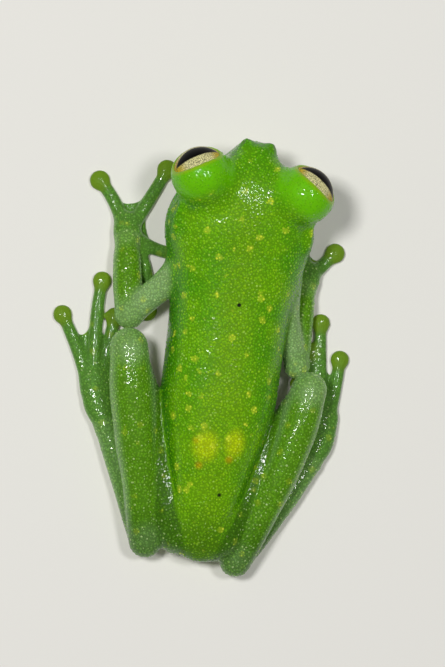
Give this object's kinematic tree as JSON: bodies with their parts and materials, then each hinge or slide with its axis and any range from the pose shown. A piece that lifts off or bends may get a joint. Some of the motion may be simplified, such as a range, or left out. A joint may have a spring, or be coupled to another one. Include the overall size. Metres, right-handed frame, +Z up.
{
  "type": "glass frog",
  "caption": "Life-size still model of a green glass frog crouched flat, limbs folded beside the body, large forward eyes and disc-tipped toes.",
  "frame": {"origin": "on the surface the frog rests on, under the middle of its outer box", "axes": "+Z up, the snout points to -Y, the frog's left side is +X"},
  "size_m": [0.019, 0.0274, 0.0083],
  "materials": {
    "skin": "moist, finely granular frog skin, satin with small wet glints",
    "eye": "wet, polished eye with a dark level pupil"
  },
  "bodies": {
    "root": {"head": "skin", "trunk": "skin", "upper_arm_left": "skin", "upper_arm_right": "skin", "forearm_left": "skin", "forearm_right": "skin", "hand_left": "skin", "hand_right": "skin", "thigh_left": "skin", "thigh_right": "skin", "shin_left": "skin", "shin_right": "skin", "tarsus_left": "skin", "tarsus_right": "skin", "foot_left": "skin", "foot_right": "skin", "eye_left": "eye", "eye_right": "eye"}
  },
  "joints": []
}
